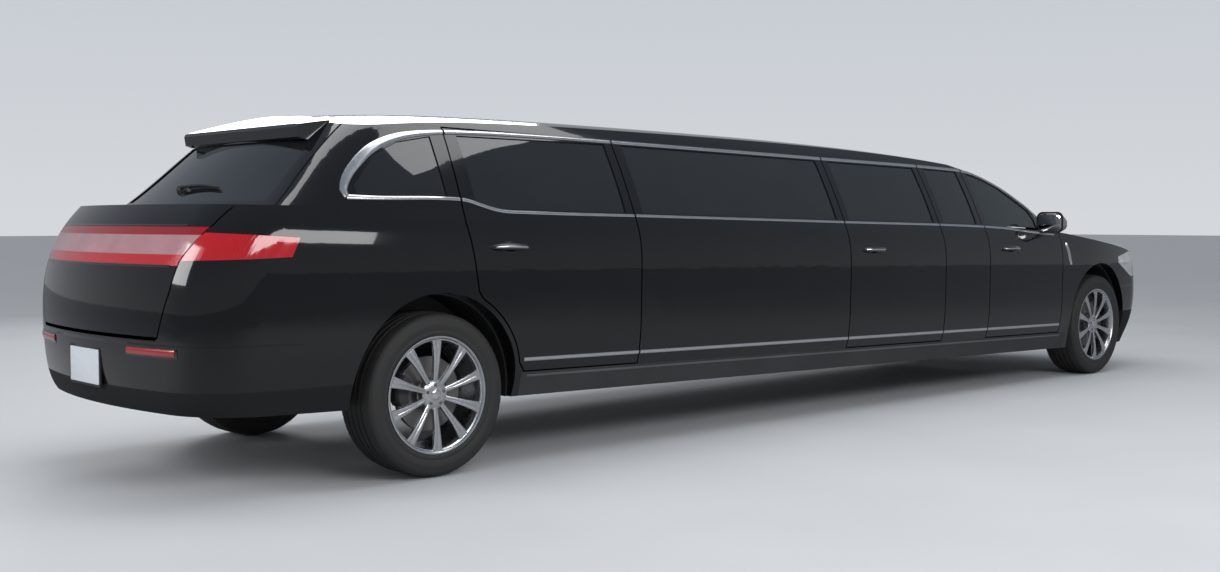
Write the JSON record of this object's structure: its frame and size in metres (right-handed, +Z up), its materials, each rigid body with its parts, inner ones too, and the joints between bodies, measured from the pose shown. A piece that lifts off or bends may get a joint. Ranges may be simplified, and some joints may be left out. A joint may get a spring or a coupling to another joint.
{
  "type": "stretch limousine",
  "caption": "Long crossover limousine with hinged side doors, lifting tailgate and bonnet, steered front wheels and a furnished lounge behind the driver.",
  "frame": {"origin": "on the ground, at the middle of the length and width", "axes": "+X forward to the nose, +Y to the left, +Z up"},
  "size_m": [8.2811, 2.175, 1.6876],
  "materials": {
    "paint": "high gloss black",
    "glass": "dark tint",
    "lamp_red": "clear red lens",
    "lamp_clear": "clear lens over bright reflector",
    "bright": "polished",
    "gloss_black": "gloss",
    "leather": "grained",
    "cabin_trim": "grained",
    "plastic": "moulded",
    "steel": "satin underseal",
    "rim": "polished",
    "tyre": "matt"
  },
  "bodies": {
    "body": {"cowl": "plastic", "dashboard": "cabin_trim", "divider": "cabin_trim", "engine": "steel", "floor_pan": "steel", "front_bumper": "paint", "front_fenders": "paint", "front_links": "steel", "front_rails": "steel", "front_seats": "leather", "grille": "bright", "headlamps": "lamp_clear", "lounge_seats": "leather", "quarter_glass": "glass", "quarter_panels": "paint", "rear_axle": "steel", "rear_bumper": "paint", "roof": "paint", "stretch_glass": "glass", "stretch_panel_left": "paint", "stretch_panel_right_front": "paint", "stretch_panel_right_rear": "paint", "tail_lamp_corners": "lamp_red", "wheel_housings": "plastic", "windscreen": "glass", "windscreen_frame": "paint"},
    "door_front_left": {"front_door_left": "paint", "front_door_glass_left": "glass", "mirror_left": "gloss_black"},
    "door_front_right": {"front_door_right": "paint", "front_door_glass_right": "glass", "mirror_right": "gloss_black"},
    "door_rear_left": {"rear_door_left": "paint", "rear_door_glass_left": "glass"},
    "door_rear_right": {"rear_door_right": "paint", "rear_door_glass_right": "glass"},
    "door_middle_right": {"middle_door_right": "paint", "middle_door_glass_right": "glass"},
    "tailgate": {"tailgate": "paint", "tailgate_glass": "glass", "tail_lamp_bar": "lamp_red", "spoiler": "gloss_black"},
    "bonnet": {"bonnet": "paint"},
    "steer_left": {"knuckle_left": "steel"},
    "steer_right": {"knuckle_right": "steel"},
    "steering_wheel": {"steering_wheel": "cabin_trim"},
    "wheel_front_left": {"tyre_front_left": "tyre", "rim_front_left": "rim"},
    "wheel_front_right": {"tyre_front_right": "tyre", "rim_front_right": "rim"},
    "wheel_rear_left": {"tyre_rear_left": "tyre", "rim_rear_left": "rim"},
    "wheel_rear_right": {"tyre_rear_right": "tyre", "rim_rear_right": "rim"}
  },
  "joints": [
    {"name": "door_front_left_hinge", "type": "hinge", "parent": "body", "child": "door_front_left", "pos_m": [2.5024, 0.948, 0.7123], "axis": [-0.0195, 0, -0.9998], "range_deg": [0, 68]},
    {"name": "door_front_right_hinge", "type": "hinge", "parent": "body", "child": "door_front_right", "pos_m": [2.5024, -0.948, 0.7123], "axis": [0.0195, 0, 0.9998], "range_deg": [0, 68]},
    {"name": "door_rear_left_hinge", "type": "hinge", "parent": "body", "child": "door_rear_left", "pos_m": [-1.72679, 0.948, 0.79498], "axis": [-0.0195, 0, -0.9998], "range_deg": [0, 70]},
    {"name": "door_rear_right_hinge", "type": "hinge", "parent": "body", "child": "door_rear_right", "pos_m": [-1.72679, -0.948, 0.79498], "axis": [0.0195, 0, 0.9998], "range_deg": [0, 70]},
    {"name": "door_middle_right_hinge", "type": "hinge", "parent": "body", "child": "door_middle_right", "pos_m": [1.01269, -0.948, 0.74142], "axis": [0.0195, 0, 0.9998], "range_deg": [0, 70]},
    {"name": "tailgate_hinge", "type": "hinge", "parent": "body", "child": "tailgate", "pos_m": [-3.21449, 0, 1.59221], "axis": [0, 1, 0], "range_deg": [0, 80]},
    {"name": "bonnet_hinge", "type": "hinge", "parent": "body", "child": "bonnet", "pos_m": [2.80023, 0, 1.05854], "axis": [0, -1, 0], "range_deg": [0, 50]},
    {"name": "steer_left_axis", "type": "hinge", "parent": "body", "child": "steer_left", "pos_m": [3.1246, 0.715, 0.372], "axis": [0, 0, 1], "range_deg": [-33, 33]},
    {"name": "steer_right_axis", "type": "hinge", "parent": "body", "child": "steer_right", "pos_m": [3.1246, -0.715, 0.372], "axis": [0, 0, 1], "range_deg": [-33, 33]},
    {"name": "steering_wheel_axis", "type": "hinge", "parent": "body", "child": "steering_wheel", "pos_m": [2.2246, 0.38, 0.96], "axis": [-0.9063, 0, 0.4226], "range_deg": [-462, 462]},
    {"name": "wheel_front_left_spin", "type": "hinge", "parent": "steer_left", "child": "wheel_front_left", "pos_m": [3.1246, 0.812, 0.372], "axis": [0, 1, 0], "continuous": true},
    {"name": "wheel_front_right_spin", "type": "hinge", "parent": "steer_right", "child": "wheel_front_right", "pos_m": [3.1246, -0.812, 0.372], "axis": [0, 1, 0], "continuous": true},
    {"name": "wheel_rear_left_spin", "type": "hinge", "parent": "body", "child": "wheel_rear_left", "pos_m": [-2.9184, 0.812, 0.372], "axis": [0, 1, 0], "continuous": true},
    {"name": "wheel_rear_right_spin", "type": "hinge", "parent": "body", "child": "wheel_rear_right", "pos_m": [-2.9184, -0.812, 0.372], "axis": [0, 1, 0], "continuous": true}
  ],
  "couplings": [
    {"joint": "steer_right_axis", "follows": "steer_left_axis", "ratio": 1},
    {"joint": "steering_wheel_axis", "follows": "steer_left_axis", "ratio": 14}
  ]
}
